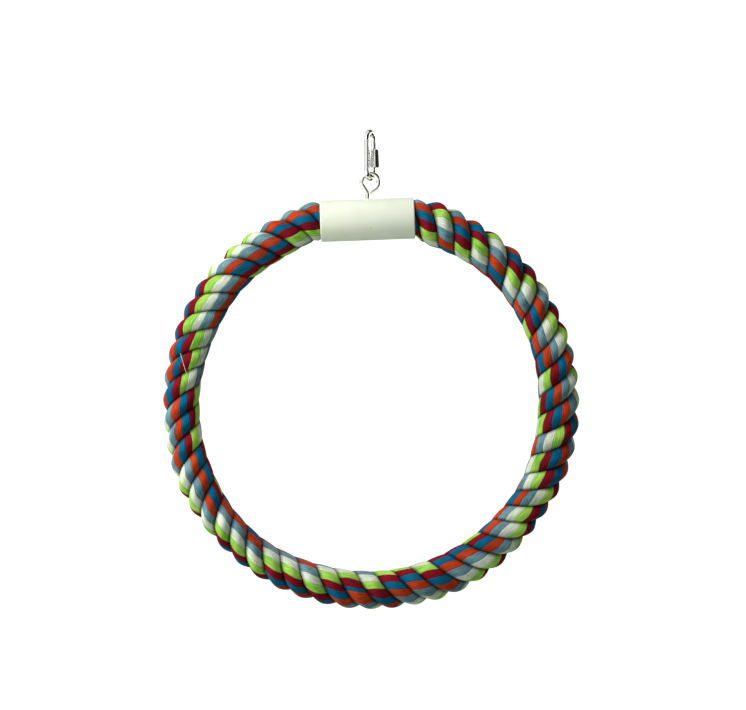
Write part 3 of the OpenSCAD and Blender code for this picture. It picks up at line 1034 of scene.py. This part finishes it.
# %% The link's rod
link_l = 33.3 * MM
link_w = 14.3 * MM
link_r = 1.65 * MM
link_turn = math.radians(66)
link_nut_l = 12 * MM
link_nut_af = 6.5 * MM
link_nut_top_af = 5.5 * MM
link_nut_turn = math.radians(42)
link_open = 3.1 * MM
link_grip = 2.1 * MM
nut_travel = 5.2 * MM
nut_gap = 0.08 * MM
link_thread_pitch = 0.7 * MM
link_thread_depth = 0.28 * MM
link_bend_r = link_w / 2 - link_r
limb_top = link_r - link_bend_r
limb_bottom = link_r - (link_l - 2 * link_r) + link_bend_r
nut_bottom = limb_top - nut_travel - link_nut_l
stub_top = nut_bottom + link_grip
rod_start = Vector((link_bend_r, 0, stub_top + link_open))
thread_length = limb_top - rod_start.z - tip
link_rod = wire_start("link_rod", link_r, rod_start)
run_on((0, 0, 1), thread_length, math.ceil(thread_length / link_thread_pitch * thread_steps_per_pitch))
bend_on((0, 0, limb_top), math.pi, steps=40)
run_on((0, 0, -1), limb_top - limb_bottom, steps=6)
bend_on((0, 0, limb_bottom), math.pi, steps=40)
run_on((0, 0, 1), nut_bottom - limb_bottom, steps=2)
run_on((0, 0, 1), link_grip - tip, math.ceil(link_grip / link_thread_pitch * thread_steps_per_pitch))
wire_close(link_rod, (0, 0, 1), (link_bend_r, 0, stub_top))
limb = (link_bend_r, 0)
cut_thread(link_rod, limb, rod_start.z - MM / 10, limb_top - MM, link_thread_pitch, link_thread_depth)
cut_thread(link_rod, limb, nut_bottom, stub_top + MM / 10, link_thread_pitch, link_thread_depth)
link_rod.rotation_euler = (0, 0, link_turn)
settle(link_rod)
print("rod faces:", len(link_rod.data.polygons))

# %% [markdown]
# The sleeve nut is a six-sided bar that narrows a little upwards. Its corners were chamfered in a lathe at
# both ends, which leaves the curved edges that every nut has. A round body with bevelled rims is the lathe's
# work, and what it has in common with the bar is the nut. A last small bevel takes the sharpness off its
# edges.

# %% The sleeve nut
nut_chamfer = 0.12 * link_nut_af
low_corner_r = link_nut_af / 2 / math.cos(math.pi / 6)
top_corner_r = link_nut_top_af / 2 / math.cos(math.pi / 6)
nut_edge_r = 0.12 * MM
nut_centre = Vector((link_bend_r, 0, nut_bottom + link_nut_l / 2))
bpy.ops.mesh.primitive_cone_add(
    vertices=6,
    radius1=low_corner_r,
    radius2=top_corner_r,
    depth=link_nut_l,
    location=nut_centre,
    rotation=(0, 0, math.pi / 2 + link_nut_turn),
)
link_nut = started("sleeve_nut")
bpy.ops.mesh.primitive_cone_add(
    vertices=96, radius1=low_corner_r, radius2=top_corner_r, depth=link_nut_l, location=nut_centre
)
lathe = started("lathe_body")
pick_edges(lathe, lambda middle: abs(abs(middle.z - nut_centre.z) - link_nut_l / 2) < near)
bpy.ops.mesh.bevel(offset=nut_chamfer, segments=1, affect="EDGES")
bpy.ops.object.mode_set(mode="OBJECT")
apply_modifier(link_nut, "BOOLEAN", operation="INTERSECT", solver="EXACT", object=lathe)
bpy.data.objects.remove(lathe)
bpy.ops.mesh.primitive_cylinder_add(
    vertices=64, radius=link_r + nut_gap, depth=2 * link_nut_l, location=nut_centre
)
cut_away(link_nut, started("tap"))
apply_modifier(
    link_nut, "BEVEL", width=nut_edge_r, segments=3, limit_method="ANGLE", angle_limit=math.radians(28)
)
link_nut.rotation_euler = (0, 0, link_turn)
settle(link_nut)
bpy.ops.object.shade_smooth_by_angle(angle=math.radians(40))
print("nut faces:", len(link_nut.data.polygons))

# %% [markdown]
# ## Zinc-plated steel
# The wire, the link and the nuts are mild steel with bright zinc plating: a cool grey metal, not as sharp as
# chrome, with fine drawing lines and a faint mottle where the plating grew. The wire of the eye is a little
# rougher than the link, which is tumbled bright.

# %% Plated steel
mottle = 2.2 * MM
scratch = 0.25 * MM
scratch_length = 2.5 * MM
scratch_height = 0.02 * MM


def zinc_plate(name, deep, pale, smooth, rough):
    """Bright zinc plating between two tones and two roughnesses."""
    material, tree, shader = new_material(name, Metallic=1.0)
    cloud, tone = clouded(tree, mottle, deep, pale, detail=3.0)
    tree.links.new(tone, shader.inputs["Base Color"])
    gloss = add_node(tree, "ShaderNodeMapRange", {"Value": cloud, "To Min": smooth, "To Max": rough})
    tree.links.new(gloss.outputs["Result"], shader.inputs["Roughness"])
    place = add_node(tree, "ShaderNodeTexCoord")
    drawn = add_node(
        tree,
        "ShaderNodeMapping",
        {"Vector": place.outputs["Object"], "Scale": (1 / scratch, 1 / scratch, 1 / scratch_length)},
    )
    scratches = add_node(tree, "ShaderNodeTexNoise", {"Vector": drawn.outputs[0], "Scale": 1.0})
    bump = add_node(
        tree,
        "ShaderNodeBump",
        {"Height": scratches.outputs["Fac"], "Strength": 0.10, "Distance": scratch_height},
    )
    tree.links.new(bump.outputs[0], shader.inputs["Normal"])
    return material


wire_zinc = zinc_plate("zinc_plated_wire", "#d2d2c2", "#ecebdc", smooth=0.14, rough=0.24)
link_zinc = zinc_plate("zinc_plated_link", "#dcdedb", "#f2f2ee", smooth=0.10, rough=0.20)
for piece, body, node, slot, metal in (
    (eye_bolt, "eye", "eye_bolt", "zinc_wire", wire_zinc),
    (link_rod, "link", "quick_link", "link_steel", link_zinc),
    (link_nut, "closing_nut", "link_nut", "link_steel", link_zinc),
):
    piece.data.materials.clear()
    piece.data.materials.append(metal)
    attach(piece, body)
    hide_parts(node)
    print(piece.name, "takes the place of", node)
for node in ("eye_washer", "eye_nut"):
    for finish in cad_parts[node].material_slots:
        finish.material = wire_zinc

# %% [markdown]
# ## The binding inside the sleeve
# Each cut end of the rope is bound with crepe paper tape, so that it doesn't fray. It is hidden in the
# sleeve, and the CAD model's own rings of tape are kept. Crepe tape is tan paper with fine wrinkles across
# its length, 0.8 mm apart.

# %% Crepe tape
wrinkle = 0.8 * MM
wrinkle_height = 0.08 * MM
crepe, tree, shader = new_material("crepe_paper_tape", Roughness=0.8, Specular_IOR_Level=0.25)
wrinkles, tone = clouded(tree, wrinkle, "#c3a36c", "#dcc391", detail=3.0)
tree.links.new(tone, shader.inputs["Base Color"])
bump = add_node(tree, "ShaderNodeBump", {"Height": wrinkles, "Strength": 0.6, "Distance": wrinkle_height})
tree.links.new(bump.outputs[0], shader.inputs["Normal"])
for node in ("left_end_wrap", "right_end_wrap"):
    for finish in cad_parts[node].material_slots:
        finish.material = crepe
    print(node, "is of", crepe.name)
